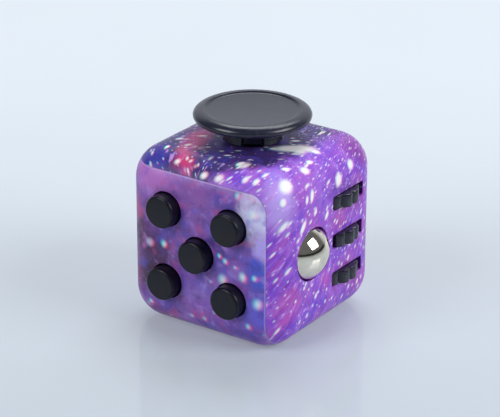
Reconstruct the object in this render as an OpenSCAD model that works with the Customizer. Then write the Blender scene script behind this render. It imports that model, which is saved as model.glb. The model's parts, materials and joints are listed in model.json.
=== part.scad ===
// Fidget cube: a pocket desk toy with a different control on each face of a rounded cube.
// Millimetres, +Z up. The origin is the centre of the bottom face, on the table.
// Click buttons face -Y, the ball and gears +X, the glide stick +Z, the spin dial +Y,
// the flip rocker -X, and the worry dimple is underneath.

/* [Casing] */
// Length of the cube's side
side = 33; // [33:0.5:35]
// Radius of the rounded edges and corners
corner_r = 6.3; // [5.8:0.1:6.6]
// Thickness of the shell walls
wall = 1.8; // [1.6:0.1:1.8]
// How far below the rear shell's faces the seam between the shells runs
seam_drop = 2.95; // [2.8:0.05:3.1]
// Radius of the worry dimple in the bottom face
dimple_r = 8; // [6:0.5:9]
// Depth of the worry dimple
dimple_depth = 1; // [0.6:0.1:1.1]

/* [Click face] */
// Radius of a button cap
button_r = 3; // [2.8:0.05:3.3]
// How far a button stands out of the face
button_proud = 2.2; // [1.8:0.1:2.6]
// Sideways and upward distance from the middle button to a corner one
button_pitch = 6.9; // [6.8:0.1:7.1]
// How far a button travels when pressed
button_travel = 1; // [0.6:0.1:1]

/* [Glide face] */
// Radius of the thumb disc
disc_r = 10.5; // [9.5:0.05:11]
// Height of the thumb disc's top above the face
disc_height = 5.6; // [5.2:0.1:6.5]
// Radius of the ribbed collar under the thumb disc
collar_r = 5.4; // [5:0.1:6]
// How far the stick slides each way from its middle
glide_travel = 1.4; // [1:0.1:1.4]

/* [Roll face] */
// Radius of the steel ball
ball_r = 5.25; // [5:0.05:5.25]
// How far the ball stands out of the face
ball_proud = 2.5; // [2:0.1:2.5]
// How far the ball clicks inwards
ball_travel = 0.8; // [0.5:0.1:0.8]
// Outer radius of a thumb gear, at the crest of its lobes
gear_r = 5.2; // [5:0.05:5.3]
// How far a gear stands out of the face
gear_proud = 1.6; // [1.4:0.1:1.8]
// Thickness of a gear
gear_w = 2.5; // [2.3:0.1:2.7]
// Height between neighbouring gears
gear_pitch = 7.3; // [7.2:0.1:7.4]
// Number of lobes round a gear
lobes = 12; // [10:1:12]
// How far each gear is turned at rest, in degrees towards the back, from the bottom one up
gear_turns = [-18, -3, -14];

/* [Flip face] */
// Length of the rocker across its two thumb pads
rocker_l = 12.6; // [11:0.2:12.6]
// Width of the rocker
rocker_w = 8; // [7:0.2:8]
// Tilt of the rocker to each side of its middle
rocker_tilt = 10; // [8:0.5:10]

/* [Spin face] */
// Radius of the dial
dial_r = 9.2; // [8.5:0.1:9.2]
// How far the dial stands out of the face
dial_proud = 2.2; // [1.4:0.1:2.4]

/* [Hidden] */

$fn = 64;
far = 3 * side;
half = side / 2;
// Distance from the cube's centre to the inside of each wall
inner = half - wall;
// Outermost place on a wall's inside that is still flat
flat_edge = half - corner_r;
// Air between parts that slide past each other, and between parts that only pass
slide_gap = 0.1;
pass_gap = 0.3;
// Radial clearance of a turning shaft
run_gap = 0.05;
seam_gap = 0.06;
screw_r = 0.6;
screw_head_r = 1.1;
screw_head_t = 0.7;
// Thickness of the spring metal
sheet_t = 0.15;

// Pegs between the shells, drawn at the corner above the -X and -Y faces
peg_r = 0.8;
peg_side = -12.6;
peg_low = 11.4;
peg_high = 14.2;
peg_block = 4.5;

// Click face, distances from the cube's centre along the face's outward direction
flange_r = 3.8;
flange_top = inner - slide_gap;
flange_bottom = flange_top - 0.8;
button_foot = flange_bottom - 0.8;
dome_height = 1.3;
board_top = button_foot - dome_height;
board_t = 1;
board_half = 10.8;
board_boss = 9.6;
board_boss_r = 1.5;
board_seat = board_top - board_t + 0.5;
button_places = [[0, 0], [-1, 1], [1, 1], [-1, -1], [1, -1]];

// Glide face
rib_half_angle = 25;
rib_turn = -10;
rib_height = 0.9;
rib_flare = 0.25;
hole_glide_r = 4.3;
stem_r = 2.1;
stem_bore_r = 0.7;
collar_bottom = half + 0.3;
foot_top = inner - 0.25;
foot_bottom = foot_top - 1.1;
foot_half = 5.4;
foot_screw_r = 1.6;
foot_screw_seat = foot_bottom - 0.45;
tongue = [7.6, 8.2];
tongue_bottom = foot_bottom - 1.25;
cross_top = foot_bottom - 0.25;
cross_t = 1.1;
tray_half = 8.2;
tray_inner = 7.3;
tray_floor = cross_top - cross_t - 0.3;
tray_bottom = tray_floor - 0.9;
tray_ear = 8.7;
ear_t = 1.05;

// Roll face: sideways is towards the back of the cube, up is up
ball_place = [-5.3, 0.2];
ball_depth = half + ball_proud - ball_r;
ball_gap = 0.25;
cup_bottom = ball_depth - ball_r - 1;
cup_t = 3.2;
cup_r = 4.9;
gear_side = 5.45;
gear_depth = half + gear_proud - gear_r;
gear_hub_r = 1.7;
gear_slot_w = gear_w + 0.2;
// How much longer a gear's slot is towards the back than towards the front
slot_extra = 0.7;
axle_r = 1;
axle_half = 10.3;
plate_top = cup_bottom - 1;
plate_t = 1.2;
plate_half = 10.2;
cheek_t = 1.3;
// The ball's guide is open beyond this distance from the middle, beside the click board
guide_open = 9.9;
roll_posts = [[-8.8, -8.7], [-8.8, 8.7], [-2.4, -8.9], [-2.4, 8.9]];

// Flip face
pivot_depth = half - 3.3;
pin_r = 0.8;
window_half = [rocker_w / 2 + 0.2, rocker_l / 2 + 0.9];
flip_floor = pivot_depth - 3.5;
flip_box = [window_half[0] + 1.7, window_half[1] + 1];
flip_peg = 9.2;

// Spin face
hub_r = 2.45;
base_top = inner - slide_gap;
base_t = 1.1;
dial_bottom = base_top + 0.35;
hub_bottom = base_top - base_t - 0.25;
base_screw = 8.8;

// Puts a child drawn about the cube's centre into the part's own frame.
module in_cube() translate([0, 0, half]) children();

// Turn a child drawn with +Z outwards and +Y up onto one of the cube's faces.
module on_click() in_cube() rotate([90, 0, 0]) children();
module on_roll() in_cube() rotate([90, 0, 90]) children();
module on_spin() in_cube() rotate([90, 0, 180]) children();
module on_flip() in_cube() rotate([90, 0, -90]) children();
module on_glide() in_cube() children();

// Copies a child to the four corners of a square.
module at_four(reach) for (x = [-1, 1], y = [-1, 1]) translate([x, y] * reach) children();

// A disc or rod from height low to height high.
module rod(r, low, high) translate([0, 0, low]) cylinder(r = r, h = high - low);

// A box centred sideways, from height low to height high.
module slab(width, depth, low, high)
    translate([-width / 2, -depth / 2, low]) cube([width, depth, high - low]);

// Points along an arc, for outlines that are turned or extruded.
function arc(centre, r, from, to, steps = 6) =
    [for (i = [0 : steps])
        let (a = from + (to - from) * i / steps) centre + r * [cos(a), sin(a)]];

module turned(outline) rotate_extrude($fn = 72) polygon(outline);

// A cube with rounded edges and corners, centred, with true flat faces.
module rounded_cube(size, r) {
    core = size - 2 * r;
    hull() {
        cube([size, core, core], center = true);
        cube([core, size, core], center = true);
        cube([core, core, size], center = true);
        for (x = [-1, 1], y = [-1, 1], z = [-1, 1])
            translate([x, y, z] * core / 2) sphere(r = r, $fn = 32);
    }
}

// The space of the front shell: everything on the near side of the seam.
module front_space(gap = 0) {
    size = side + 8;
    shift = half - seam_drop + gap - size / 2;
    translate([shift, shift, shift]) rounded_cube(size, corner_r - seam_drop);
}

// Copies a child to the three corners where the shells are pegged together.
module at_pegged_corners() for (i = [0 : 2]) rotate(a = 120 * i, v = [1, 1, 1]) children();

module peg_blocks(low, high)
    at_pegged_corners()
        translate([-half + 1, -half + 1, low]) cube([peg_block, peg_block, high - low]);

module peg_holes()
    at_pegged_corners() translate([peg_side, peg_side, 0]) rod(peg_r, peg_low, peg_high);

// The casing's wall, with the bosses given as children, cut to the rounded cube.
module casing_wall() {
    intersection() {
        rounded_cube(side, corner_r);
        union() {
            difference() {
                cube(side + 2, center = true);
                rounded_cube(2 * inner, corner_r - wall);
            }
            children();
        }
    }
}

module front_bosses() {
    rotate([90, 0, 0]) {
        for (a = [0 : 90 : 270]) rotate(a) translate([board_boss, 0])
            rod(board_boss_r, board_top, inner + 0.4);
    }
    rotate([90, 0, -90]) {
        for (s = [-1, 1]) translate([0, s * flip_peg]) {
            rod(0.7, inner - 1.7, inner + 0.4);
            rod(1.1, inner - 1.8, inner - 1.3);
        }
    }
    peg_blocks(peg_low - 0.3, half - seam_drop - 0.2);
}

module front_holes() {
    rotate([90, 0, 0]) {
        for (p = button_places) translate(p * button_pitch) rod(button_r + 0.2, inner - 1, half + 1);
        for (a = [0 : 90 : 270]) rotate(a) translate([board_boss, 0])
            rod(screw_r, board_top - 1, board_top + 2.4);
    }
    rotate([90, 0, -90]) slab(2 * window_half[0], 2 * window_half[1], inner - 1, half + 1);
    dimple_sphere = (dimple_r * dimple_r + dimple_depth * dimple_depth) / (2 * dimple_depth);
    translate([0, 0, -half + dimple_depth - dimple_sphere]) sphere(r = dimple_sphere, $fn = 96);
    peg_holes();
}

module front_shell() color("mediumpurple") in_cube() difference() {
    intersection() {
        casing_wall() front_bosses();
        front_space();
    }
    front_holes();
}

module rear_bosses() {
    rotate([90, 0, 90])
        for (p = roll_posts) translate(p) rod(1.4, plate_top + 0.05, inner + 0.4);
    peg_blocks(half - seam_drop + 0.1, half - 1);
}

module rear_holes() {
    rod(hole_glide_r, inner - 1, half + 1);
    at_four(tray_ear) rod(screw_r, inner - 1, inner + 1.2);
    rotate([90, 0, 90]) {
        translate([ball_place[0], ball_place[1], ball_depth]) sphere(r = ball_r + ball_gap, $fn = 96);
        for (k = [-1 : 1], extra = [0, slot_extra])
            translate([gear_side + extra, k * gear_pitch, gear_depth]) rotate([90, 0, 0])
            cylinder(r = gear_r + 0.45, h = gear_slot_w, center = true);
        for (p = roll_posts) translate(p) rod(screw_r, plate_top - 1, plate_top + 3);
    }
    rotate([90, 0, 180]) {
        rod(dial_r + pass_gap, inner - 1, half + 1);
        at_four(base_screw) rod(screw_r, inner - 1, inner + 1.2);
    }
    peg_holes();
}

module rear_shell() color("rebeccapurple") in_cube() difference() {
    casing_wall() rear_bosses();
    front_space(seam_gap);
    rear_holes();
}

module shell_dowels() color("gainsboro") in_cube() peg_holes();

// A screw whose head lies below its seat; the shank points outwards.
module screw(seat, tip, head_r = screw_head_r, shank_r = screw_r, head_t = screw_head_t)
    difference() {
        union() {
            rod(head_r, seat - head_t, seat);
            rod(shank_r, seat - head_t / 2, tip);
        }
        slab(head_r * 1.3, 0.3, seat - head_t - 1, seat - head_t * 0.6);
        slab(0.3, head_r * 1.3, seat - head_t - 1, seat - head_t * 0.6);
    }

// One click button: a cap with a soft rim, a flange behind the wall and a foot for its dome.
module click_button(index) {
    edge = 0.6;
    top = half + button_proud;
    color([0.04, 0.04, 0.05]) on_click() translate(button_places[index] * button_pitch)
        turned(concat(
            [[0, button_foot], [1.2, button_foot], [1.2, flange_bottom], [flange_r, flange_bottom],
             [flange_r, flange_top], [button_r, flange_top]],
            arc([button_r - edge, top - edge], edge, 0, 90),
            [[0, top]]));
}

module click_button_center() click_button(0);
module click_button_upper_left() click_button(1);
module click_button_upper_right() click_button(2);
module click_button_lower_left() click_button(3);
module click_button_lower_right() click_button(4);

// Thin metal domes that snap under three of the buttons.
module snap_domes() color("silver") on_click() {
    rise = dome_height - sheet_t - 0.1;
    base = 2.2;
    bend_r = (base * base + rise * rise) / (2 * rise);
    spread = asin(base / bend_r);
    centre = [0, board_top + sheet_t + 0.05 + rise - bend_r];
    for (i = [0, 1, 4]) translate(button_places[i] * button_pitch)
        turned(concat(
            arc(centre, bend_r, 90, 90 - spread, 8),
            arc(centre, bend_r - sheet_t, 90 - spread * 0.97, 90, 8)));
}

// Soft rubber domes under the two silent buttons.
module silicone_domes() color("lightgrey") on_click() {
    for (i = [2, 3]) translate(button_places[i] * button_pitch) turned([
        [0, board_top + 0.85], [1, board_top + 0.85], [1.9, board_top], [2.6, board_top],
        [2.6, board_top + 0.3], [2.25, board_top + 0.3],
        [1.4, button_foot - 0.05], [0, button_foot - 0.05]
    ]);
}

// The plate behind the buttons that carries their domes.
module click_board() color("darkolivegreen") on_click() difference() {
    slab(2 * board_half, 2 * board_half, board_top - board_t, board_top);
    for (a = [0 : 90 : 270]) rotate(a) {
        translate([board_boss, 0]) rod(screw_r + 0.1, board_top - 2, board_top + 1);
        translate([board_boss, 0]) rod(screw_head_r + 0.15, board_top - 2, board_seat);
        translate([board_half, board_half]) rotate(45) slab(3, 3, board_top - 2, board_top + 1);
    }
}

module click_screws() color("silver") on_click()
    for (a = [0 : 90 : 270]) rotate(a) translate([board_boss, 0])
        screw(board_seat, board_top + 2.2);

// Thumb disc, ribbed collar and stem in one moulding.
module glide_cap() {
    top = half + disc_height;
    core_r = collar_r - rib_height;
    rim_in = disc_r - 2.1;
    roll = disc_r - rim_in - 0.2;
    recess = top - 0.35;
    rib_side = far * [cos(rib_half_angle), sin(rib_half_angle)];
    color([0.16, 0.17, 0.2]) on_glide() difference() {
        union() {
            turned(concat(
                [[0, foot_bottom], [stem_r, foot_bottom], [stem_r, collar_bottom],
                 [core_r, collar_bottom], [core_r, top - 2.1], [disc_r - 2.2, top - 1.9]],
                arc([disc_r - 0.75, top - 1.15], 0.75, -80, 0, 5),
                [for (t = [12 : 12 : 84]) [rim_in + 0.2 + roll * cos(t), top - 1.15 + 1.15 * sin(t)]],
                [[rim_in + 0.2, top], [rim_in, top - 0.1], [rim_in - 0.25, recess], [0, recess]]));
            for (a = [0 : 90 : 270]) rotate(a + rib_turn) intersection() {
                translate([0, 0, collar_bottom + 0.1])
                    cylinder(r1 = collar_r + rib_flare, r2 = collar_r - rib_flare,
                        h = top - 2 - collar_bottom - 0.1);
                linear_extrude(far) polygon([[0, 0], [rib_side.x, -rib_side.y], rib_side]);
            }
        }
        rod(stem_bore_r, foot_bottom - 1, half - 0.3);
    }
}

// The stick's foot inside the casing: a plate with a tongue that runs in the cross slide.
module glide_foot() color("dimgrey") on_glide() difference() {
    union() {
        slab(2 * foot_half, 2 * foot_half, foot_bottom, foot_top);
        slab(tongue[0], tongue[1], tongue_bottom, foot_bottom + 0.1);
    }
    rod(stem_r, foot_bottom, foot_top + 1);
    rod(stem_bore_r, tongue_bottom - 1, foot_top);
    rod(foot_screw_r + 0.15, tongue_bottom - 1, foot_screw_seat);
}

module glide_screw() color("silver") on_glide()
    screw(foot_screw_seat, half - 0.5, foot_screw_r, stem_bore_r);

// Slides left and right in the tray and lets the foot slide front to back in its window.
module glide_cross_slide() color("slategrey") on_glide() difference() {
    slab(11.2, 2 * (tray_inner - slide_gap), cross_top - cross_t, cross_top);
    slab(tongue[0] + 2 * slide_gap, tongue[1] + 2 * glide_travel + 0.2, cross_top - 2, cross_top + 1);
}

// The tray under the top wall that holds the stick's slides.
module glide_housing() color("darkslategrey") on_glide() difference() {
    union() {
        slab(2 * tray_half, 2 * tray_half, tray_bottom, inner - 0.05);
        at_four(tray_ear) rod(1.5, inner - ear_t, inner - 0.05);
    }
    difference() {
        slab(2 * tray_inner, 2 * tray_inner, tray_floor, inner + 1);
        for (s = [-1, 1]) translate([0, s * (tray_inner - 0.5), 0])
            slab(2 * tray_inner, 1.4, tray_floor - 1, cross_top - cross_t - 0.05);
    }
    at_four(tray_ear) rod(screw_r + 0.1, tray_bottom - 1, inner + 1);
    at_four(tray_ear) rod(screw_head_r + 0.15, tray_bottom - 1, inner - ear_t - 0.02);
}

// Four bowed leaf springs that bring the stick back to its middle.
module glide_springs() {
    bow = tray_inner - foot_half - 0.3;
    reach = 4.4;
    bend_r = (reach * reach + bow * bow) / (2 * bow);
    color("silver") on_glide() for (a = [0 : 90 : 270]) rotate(a) intersection() {
        translate([foot_half + 0.1 + bend_r, 0, 0]) difference() {
            rod(bend_r, foot_bottom + 0.15, foot_top - 0.15);
            rod(bend_r - sheet_t, foot_bottom, foot_top);
        }
        translate([foot_half + bow / 2 + 0.1, 0, 0]) slab(bow, 2 * reach, 0, half);
    }
}

module glide_housing_screws() color("silver") on_glide()
    at_four(tray_ear) screw(inner - ear_t, inner + 1.1);

module roll_ball() color("gainsboro") on_roll()
    translate([ball_place[0], ball_place[1], ball_depth]) sphere(r = ball_r, $fn = 96);

// The sprung cup that the ball rolls in.
module ball_cup() color("dimgrey") on_roll() difference() {
    translate(ball_place) rod(cup_r, cup_bottom, cup_bottom + cup_t);
    translate([ball_place[0], ball_place[1], ball_depth]) sphere(r = ball_r + run_gap, $fn = 96);
}

// The snap dome that makes the ball click.
module ball_spring() {
    rise = 0.7;
    base = 3.6;
    bend_r = (base * base + rise * rise) / (2 * rise);
    spread = asin(base / bend_r);
    centre = [0, plate_top + sheet_t + 0.05 + rise - bend_r];
    color("silver") on_roll() translate(ball_place)
        turned(concat(
            arc(centre, bend_r, 90, 90 - spread, 8),
            arc(centre, bend_r - sheet_t, 90 - spread, 90, 8)));
}

// A thumb gear with rounded lobes and narrow valleys, on its own bore.
module thumb_gear(level) {
    lobe_r = gear_r * sin(180 / lobes) * 0.93;
    color([0.06, 0.06, 0.07]) on_roll()
        translate([gear_side, level * gear_pitch, gear_depth])
        rotate([90, 0, 0]) rotate(-gear_turns[level + 1])
        difference() {
            union() {
                cylinder(r = gear_r - lobe_r * 0.55, h = gear_w, center = true);
                for (i = [0 : lobes - 1]) rotate(360 * i / lobes) translate([gear_r - lobe_r, 0, 0])
                    cylinder(r = lobe_r, h = gear_w, center = true, $fn = 32);
                cylinder(r = gear_hub_r, h = gear_w + 0.3, center = true);
            }
            cylinder(r = axle_r + run_gap, h = gear_w + 1, center = true);
        }
}

module gear_top() thumb_gear(1);
module gear_middle() thumb_gear(0);
module gear_bottom() thumb_gear(-1);

module gear_axle() color("silver") on_roll() translate([gear_side, 0, gear_depth]) rotate([90, 0, 0])
    cylinder(r = axle_r, h = 2 * axle_half, center = true);

// Three leaf fingers whose tips press on the gears' lobes and make them click.
module gear_detents() {
    tip = gear_depth - gear_r - 0.05;
    color("silver") on_roll() for (k = [-1 : 1])
        translate([gear_side, k * gear_pitch, 0]) rotate([90, 0, 0])
        linear_extrude(1.6, center = true) polygon([
            [4, plate_top], [4, plate_top + 0.2], [1.4, plate_top + 0.35], [0.5, tip - 0.35],
            [0, tip], [-0.5, tip - 0.35], [-0.35, tip - 0.5], [0, tip - 0.2],
            [0.3, tip - 0.5], [1.1, plate_top + 0.15], [1.3, plate_top]
        ]);
}

// The carrier behind the roll face: cheeks for the gears' axle and a guide for the ball's cup.
module roll_bracket() color("darkslategrey") on_roll() difference() {
    union() {
        slab(2 * plate_half, 2 * plate_half, plate_top - plate_t, plate_top);
        for (v = [-axle_half + cheek_t / 2, -gear_pitch / 2, gear_pitch / 2, axle_half - cheek_t / 2])
            translate([gear_side + 0.25, v, 0]) slab(7.4, cheek_t, plate_top - 0.5, inner - 0.1);
        translate(ball_place) rod(cup_r + 0.7, plate_top - 0.5, plate_top + 3.4);
    }
    translate(ball_place) rod(cup_r + slide_gap, plate_top, half);
    translate([-half - guide_open, 0, 0]) slab(side, side, plate_top - 0.5, half);
    for (p = roll_posts) translate(p) rod(screw_r + 0.1, plate_top - 3, plate_top + 1);
    translate([gear_side, 0, gear_depth]) rotate([90, 0, 0])
        cylinder(r = axle_r, h = far, center = true);
}

module roll_screws() color("silver") on_roll()
    for (p = roll_posts) translate(p) screw(plate_top - plate_t, plate_top + 2.8);

// The rocker, resting with its upper pad out; it turns about the pin.
module flip_rocker() {
    pad = rocker_l / 2;
    color([0.05, 0.05, 0.06]) on_flip() difference() {
        translate([0, 0, pivot_depth]) rotate([rocker_tilt, 0, 0]) rotate([90, 0, 90])
            linear_extrude(rocker_w, center = true) polygon(concat(
                [[-pad - 0.6, -0.7], [-1.9, -1.3], [-1, -3], [1, -3], [1.9, -1.3], [pad + 0.6, -0.7]],
                arc([pad - 0.5, 3.9], 0.5, 10, 80, 4),
                [[0, 3.6]],
                arc([-pad + 0.5, 3.9], 0.5, 100, 170, 4)));
        translate([0, 0, pivot_depth]) rotate([0, 90, 0])
            cylinder(r = pin_r + run_gap, h = far, center = true);
    }
}

module flip_pin() color("silver") on_flip() translate([0, 0, pivot_depth]) rotate([0, 90, 0])
    cylinder(r = pin_r, h = 2 * flip_box[0] - 0.2, center = true);

// The box behind the flip face that holds the rocker's pin, staked to the front shell.
module flip_housing() color("darkslategrey") on_flip() difference() {
    union() {
        slab(2 * flip_box[0], 2 * flip_box[1], flip_floor - 0.8, inner - 0.05);
        slab(6, 2 * (flip_peg + 1), inner - 1.25, inner - 0.05);
    }
    slab(2 * window_half[0], 2 * window_half[1], flip_floor, inner + 1);
    for (s = [-1, 1]) translate([0, s * flip_peg]) rod(0.75, inner - 3, inner + 1);
    translate([0, 0, pivot_depth]) rotate([0, 90, 0]) cylinder(r = pin_r, h = far, center = true);
}

// A bowed leaf that holds the rocker's leg to one side or the other.
module flip_spring() {
    reach = window_half[1] - 0.4;
    color("silver") on_flip() rotate([90, 0, 90]) linear_extrude(3, center = true) polygon([
        [-reach, flip_floor], [-reach + 1, flip_floor], [-2.4, flip_floor + 0.15],
        [0, flip_floor + 0.02], [2.4, flip_floor + 0.15], [reach - 1, flip_floor],
        [reach, flip_floor], [reach, flip_floor + 0.12], [2.4, flip_floor + 0.3],
        [0, flip_floor + 0.15], [-2.4, flip_floor + 0.3], [-reach, flip_floor + 0.12]
    ]);
}

// The dial with its finger dimple and its hub.
module spin_dial() {
    edge = 0.7;
    top = half + dial_proud;
    color([0.05, 0.05, 0.06]) on_spin() difference() {
        turned(concat(
            [[0, hub_bottom], [hub_r, hub_bottom], [hub_r, dial_bottom], [dial_r, dial_bottom]],
            arc([dial_r - edge, top - edge], edge, 0, 90),
            [[0, top]]));
        translate([0, 0.55 * dial_r, top + 2.2]) sphere(r = 3.4, $fn = 64);
        rod(0.7, hub_bottom - 1, half + 0.3);
    }
}

module spin_retainer() color("silver") on_spin() difference() {
    rod(3.6, hub_bottom - 0.5, hub_bottom);
    rod(0.7, hub_bottom - 1, hub_bottom + 1);
}

module spin_screw() color("silver") on_spin() screw(hub_bottom - 0.5, half, 1.5, 0.7);

module spin_washer() color("whitesmoke") on_spin() difference() {
    rod(6, base_top + 0.05, dial_bottom - 0.05);
    rod(3, base_top, dial_bottom);
}

// The plate behind the spin face with the dial's bearing.
module spin_base() color("darkslategrey") on_spin() difference() {
    slab(2 * plate_half, 2 * plate_half, base_top - base_t, base_top);
    rod(hub_r + run_gap, base_top - 2, base_top + 1);
    at_four(base_screw) rod(screw_r + 0.1, base_top - 2, base_top + 1);
}

module spin_base_screws() color("silver") on_spin()
    at_four(base_screw) screw(base_top - base_t, inner + 1.1);

front_shell();
rear_shell();
shell_dowels();
click_button_center();
click_button_upper_left();
click_button_upper_right();
click_button_lower_left();
click_button_lower_right();
snap_domes();
silicone_domes();
click_board();
click_screws();
glide_cap();
glide_foot();
glide_screw();
glide_cross_slide();
glide_housing();
glide_springs();
glide_housing_screws();
roll_ball();
ball_cup();
ball_spring();
gear_top();
gear_middle();
gear_bottom();
gear_axle();
gear_detents();
roll_bracket();
roll_screws();
flip_rocker();
flip_pin();
flip_housing();
flip_spring();
spin_dial();
spin_retainer();
spin_screw();
spin_washer();
spin_base();
spin_base_screws();
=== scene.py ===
"""Looks of the fidget cube: shells with a star print, black controls, a grey stick and a steel ball."""

import json
import math

import bmesh
import bpy
import numpy as np
from mathutils import Matrix, Vector


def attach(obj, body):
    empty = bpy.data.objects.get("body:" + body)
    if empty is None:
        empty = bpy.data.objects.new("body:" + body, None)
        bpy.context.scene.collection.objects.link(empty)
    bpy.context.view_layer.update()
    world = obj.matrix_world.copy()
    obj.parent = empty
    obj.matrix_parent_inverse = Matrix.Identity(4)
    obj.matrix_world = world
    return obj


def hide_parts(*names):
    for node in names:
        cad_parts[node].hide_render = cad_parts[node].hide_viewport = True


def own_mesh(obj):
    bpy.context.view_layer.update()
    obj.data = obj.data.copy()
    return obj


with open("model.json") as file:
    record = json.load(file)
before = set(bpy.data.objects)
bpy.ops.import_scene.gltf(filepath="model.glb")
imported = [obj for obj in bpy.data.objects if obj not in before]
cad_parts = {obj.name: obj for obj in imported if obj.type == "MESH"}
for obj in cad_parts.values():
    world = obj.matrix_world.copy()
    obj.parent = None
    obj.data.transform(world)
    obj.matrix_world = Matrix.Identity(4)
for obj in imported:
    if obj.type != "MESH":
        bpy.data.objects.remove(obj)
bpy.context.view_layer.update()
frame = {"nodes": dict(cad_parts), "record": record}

# ---------------------------------------------------------------- sizes, in millimetres
MM = 0.001
HALF = 16.5
CORNER = 6.3
CORE = HALF - CORNER
INNER = HALF - 1.8
INNER_CORNER = CORNER - 1.8
SEAM = HALF - 2.95
SEAM_CORNER = CORNER - 2.95
SEAM_GAP = 0.06
PITCH = 6.9
BUTTONS = {
    "center": (0, 0), "upper_left": (-1, 1), "upper_right": (1, 1),
    "lower_left": (-1, -1), "lower_right": (1, -1),
}
GEARS = {"top": 1, "middle": 0, "bottom": -1}
GEAR_TURNS = {"top": -14, "middle": -3, "bottom": -18}
GEAR_SIDE, GEAR_DEPTH, GEAR_R, GEAR_W, GEAR_PITCH, LOBES = 5.45, 12.9, 5.2, 2.5, 7.3, 12
SLOT_W, SLOT_EXTRA = GEAR_W + 0.2, 0.7
BUTTON_R, FLANGE_R = 3.0, 3.8
BALL_SIDE, BALL_UP, BALL_DEPTH, BALL_R = -5.3, 0.2, 13.75, 5.25
DISC_R, DISC_TOP = 10.5, HALF + 5.6
RIB_TURN = -10
SHEET_T = 0.15
HOLE_FLOOR = 13.4
BOARD_TOP = 11.7
PLATE_TOP = 6.5
TRAY_INNER, FOOT_HALF, LEAF_REACH = 7.3, 5.4, 4.4
FOOT_TOP = INNER - 0.25
FOOT_BOTTOM = FOOT_TOP - 1.1

# Turn a shape drawn with +Z outwards and +Y up onto one of the cube's faces.
FACE = {
    "click": Matrix(((1, 0, 0), (0, 0, -1), (0, 1, 0))),
    "roll": Matrix(((0, 0, 1), (1, 0, 0), (0, 1, 0))),
    "spin": Matrix(((-1, 0, 0), (0, 0, 1), (0, 1, 0))),
    "flip": Matrix(((0, 0, -1), (-1, 0, 0), (0, 1, 0))),
    "glide": Matrix.Identity(3),
    "bottom": Matrix(((1, 0, 0), (0, -1, 0), (0, 0, -1))),
}


# ---------------------------------------------------------------- mesh helpers
class Shape:
    """Points in millimetres about the cube's centre, and the faces between them."""

    def __init__(self, points=(), faces=()):
        self.points = [Vector(p) for p in points]
        self.faces = [list(f) for f in faces]

    def add(self, other):
        start = len(self.points)
        self.points += other.points
        self.faces += [[i + start for i in f] for f in other.faces]
        return self

    def moved(self, offset):
        return Shape([p + Vector(offset) for p in self.points], self.faces)

    def turned(self, matrix):
        return Shape([matrix @ p for p in self.points], self.faces)

    def flipped(self):
        return Shape(self.points, [f[::-1] for f in self.faces])

    def on(self, face, side=0.0, up=0.0):
        return self.moved((side, up, 0)).turned(FACE[face])


def arc(centre, radius, start, end, steps=6):
    """Points on an arc in degrees, for outlines."""
    return [
        (centre[0] + radius * math.cos(math.radians(start + (end - start) * i / steps)),
         centre[1] + radius * math.sin(math.radians(start + (end - start) * i / steps)))
        for i in range(steps + 1)
    ]


def lathe(outline, segments=96, radius=None):
    """A closed solid turned about Z from (r, z) points. radius(r, z, angle) may change a point's r."""
    shape, rings = Shape(), []
    for r, z in outline:
        if r < 1e-6:
            rings.append([len(shape.points)])
            shape.points.append(Vector((0, 0, z)))
            continue
        ring = []
        for i in range(segments):
            a = 2 * math.pi * i / segments
            q = radius(r, z, a) if radius else r
            ring.append(len(shape.points))
            shape.points.append(Vector((q * math.cos(a), q * math.sin(a), z)))
        rings.append(ring)
    closed = len(rings[0]) > 1 and len(rings[-1]) > 1
    pairs = list(zip(rings, rings[1:])) + ([(rings[-1], rings[0])] if closed else [])
    for a, b in pairs:
        for i in range(segments):
            j = (i + 1) % segments
            if len(a) == 1 and len(b) > 1:
                shape.faces.append([a[0], b[j], b[i]])
            elif len(b) == 1 and len(a) > 1:
                shape.faces.append([a[i], a[j], b[0]])
            elif len(a) > 1:
                shape.faces.append([a[i], a[j], b[j], b[i]])
    return shape


def loft(rings):
    """A closed solid through rings of equal length, capped at both ends."""
    shape, n = Shape(), len(rings[0])
    for ring in rings:
        shape.points += [Vector(p) for p in ring]
    for k in range(len(rings) - 1):
        for i in range(n):
            j = (i + 1) % n
            shape.faces.append([k * n + i, k * n + j, (k + 1) * n + j, (k + 1) * n + i])
    shape.faces.append(list(range(n))[::-1])
    shape.faces.append([(len(rings) - 1) * n + i for i in range(n)])
    return shape


def round_rect(width, height, corner, z, steps=4):
    """A ring of points round a rectangle with rounded corners, of half sizes width and height."""
    ring = []
    for k, (sx, sy) in enumerate(((1, 1), (-1, 1), (-1, -1), (1, -1))):
        centre = (sx * (width - corner), sy * (height - corner))
        ring += [(x, y, z) for x, y in arc(centre, corner, 90 * k, 90 * k + 90, steps)]
    return ring


def rounded_cube(half, corner, steps=9):
    """A cube with rounded edges and corners whose faces meet in a common grid."""
    core = half - corner
    angles = [math.radians(45 * i / steps) for i in range(steps + 1)]
    line = [(-core, -math.tan(a)) for a in reversed(angles)] + [(core, math.tan(a)) for a in angles]
    shape, known = Shape(), {}

    def point(p):
        key = tuple(round(c, 5) for c in p)
        if key not in known:
            known[key] = len(shape.points)
            shape.points.append(p)
        return known[key]

    for axis in range(3):
        for sign in (-1, 1):
            grid = []
            for cu, tu in line:
                row = []
                for cv, tv in line:
                    way = Vector((0, 0, 0))
                    way[axis], way[(axis + 1) % 3], way[(axis + 2) % 3] = sign, tu, tv
                    base = Vector((0, 0, 0))
                    base[axis], base[(axis + 1) % 3], base[(axis + 2) % 3] = sign * core, cu, cv
                    row.append(point(base + way.normalized() * corner))
                grid.append(row)
            for i in range(len(line) - 1):
                for j in range(len(line) - 1):
                    face = [grid[i][j], grid[i + 1][j], grid[i + 1][j + 1], grid[i][j + 1]]
                    shape.faces.append(face if sign > 0 else face[::-1])
    return shape


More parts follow.
